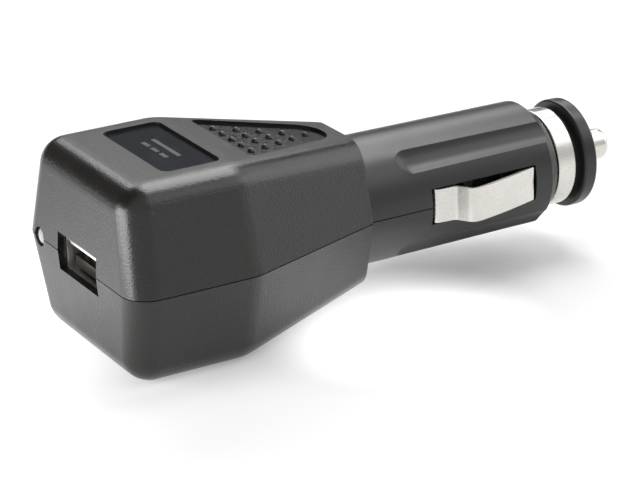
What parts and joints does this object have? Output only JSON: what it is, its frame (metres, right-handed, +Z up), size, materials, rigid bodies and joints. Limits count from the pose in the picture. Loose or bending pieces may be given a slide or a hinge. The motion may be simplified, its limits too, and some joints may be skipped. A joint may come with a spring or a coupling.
{
  "type": "car usb charger",
  "caption": "Car power plug: a drafted blocky head with a USB outlet and lamp, a fluted barrel with sprung side contacts, a clamp ring, a flanged nose and a sprung centre tip.",
  "frame": {"origin": "on the barrel axis, at the shoulder where the barrel leaves the head", "axes": "+X along the barrel towards the centre tip, +Z up through the label, the seam of the two mouldings in the plane Z = 0"},
  "size_m": [0.097, 0.0396, 0.0313],
  "materials": {
    "shell_plastic": "fine spark grain on the head, smoother satin on the barrel",
    "label_gloss": "smooth gloss",
    "outlet_steel": "bright plated sheet",
    "outlet_plastic": "moulded, matt",
    "gold_contact": "flash gold plated",
    "lamp_clear": "clear resin",
    "nickel": "bright nickel plate",
    "nose_plastic": "satin",
    "fuse_glass": "clear",
    "fuse_wire": "drawn wire",
    "spring_steel": "drawn wire",
    "cup_brass": "turned",
    "board_green": "solder mask",
    "chip_black": "moulded",
    "ferrite": "sintered",
    "capacitor_can": "drawn can",
    "chip_tan": "fired",
    "lead_red": "insulated",
    "lead_black": "insulated"
  },
  "bodies": {
    "plug": {"upper_shell": "shell_plastic", "lower_shell": "shell_plastic", "label_plate": "label_gloss", "usb_shell": "outlet_steel", "usb_tongue": "outlet_plastic", "usb_contacts": "gold_contact", "status_led": "lamp_clear", "clamp_ring": "nickel", "nose_cap": "nose_plastic", "tip_spring": "spring_steel", "spring_cup": "cup_brass", "circuit_board": "board_green", "converter_chip": "chip_black", "choke": "ferrite", "input_capacitor": "capacitor_can", "output_capacitor": "capacitor_can", "diode": "chip_black", "chip_parts": "chip_tan", "positive_lead": "lead_red", "near_lead": "lead_black", "far_lead": "lead_black"},
    "tip": {"centre_tip": "nickel", "fuse_glass": "fuse_glass", "fuse_caps": "nickel", "fuse_wire": "fuse_wire"},
    "near_strip": {"near_contact": "nickel"},
    "far_strip": {"far_contact": "nickel"}
  },
  "joints": [
    {"name": "tip_slide", "type": "slide", "parent": "plug", "child": "tip", "axis": [-1, 0, 0], "range_m": [0, 0.003], "stiffness_N_per_m": 1500, "springref_m": -0.002, "deforming": ["tip_spring"]},
    {"name": "near_contact_flex", "type": "hinge", "parent": "plug", "child": "near_strip", "pos_m": [0.001, -0.0075, 0], "axis": [0, 0, 1], "range_deg": [0, 10.3], "stiffness_Nm_per_rad": 0.4, "springref_deg": -2.86},
    {"name": "far_contact_flex", "type": "hinge", "parent": "plug", "child": "far_strip", "pos_m": [0.001, 0.0075, 0], "axis": [0, 0, -1], "range_deg": [0, 10.3], "stiffness_Nm_per_rad": 0.4, "springref_deg": -2.86}
  ]
}
